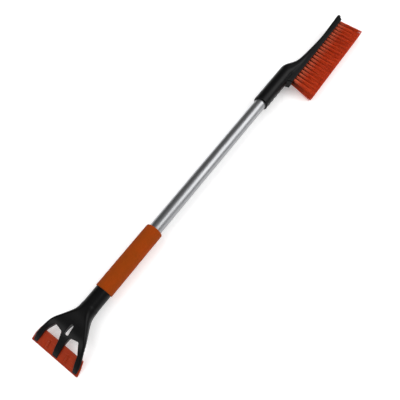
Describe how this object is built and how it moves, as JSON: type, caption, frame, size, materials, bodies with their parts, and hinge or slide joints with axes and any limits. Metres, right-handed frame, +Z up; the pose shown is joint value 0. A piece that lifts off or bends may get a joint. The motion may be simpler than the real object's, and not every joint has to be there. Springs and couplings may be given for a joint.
{
  "type": "windshield ice scraper",
  "caption": "Long-handled windshield ice scraper: a sloped blade on a forked head, a foam grip on an aluminium tube, and a one-sided snow brush at the far end.",
  "frame": {"origin": "on the axis of the handle tube, in the middle of the bare stretch between the grip and the brush socket", "axes": "+X along the tube from the scraper to the brush, +Z up when the tool lies on a table with its blade flat; the bristles point to -Y and a little down"},
  "size_m": [0.904, 0.1282, 0.0442],
  "materials": {
    "tube": "satin drawn aluminium, clear anodised",
    "grip_foam": "closed-cell foam, fine pores, matte",
    "black_plastic": "moulded, fine grain, slight sheen",
    "blade_plastic": "moulded, smooth, slightly translucent",
    "bristle": "drawn filaments, satin",
    "screw_steel": "zinc plated",
    "staple_steel": "flat drawn wire"
  },
  "bodies": {
    "root": {"handle_tube": "tube", "foam_grip": "grip_foam", "scraper_frame": "black_plastic", "scraper_blade": "blade_plastic", "blade_screws": "screw_steel", "scraper_socket_screw": "screw_steel", "brush_socket_screw": "screw_steel", "brush_head": "black_plastic", "bristle_row_upper": "bristle", "bristle_row_middle": "bristle", "bristle_row_lower": "bristle", "tuft_staples_upper": "staple_steel", "tuft_staples_middle": "staple_steel", "tuft_staples_lower": "staple_steel"}
  },
  "joints": []
}
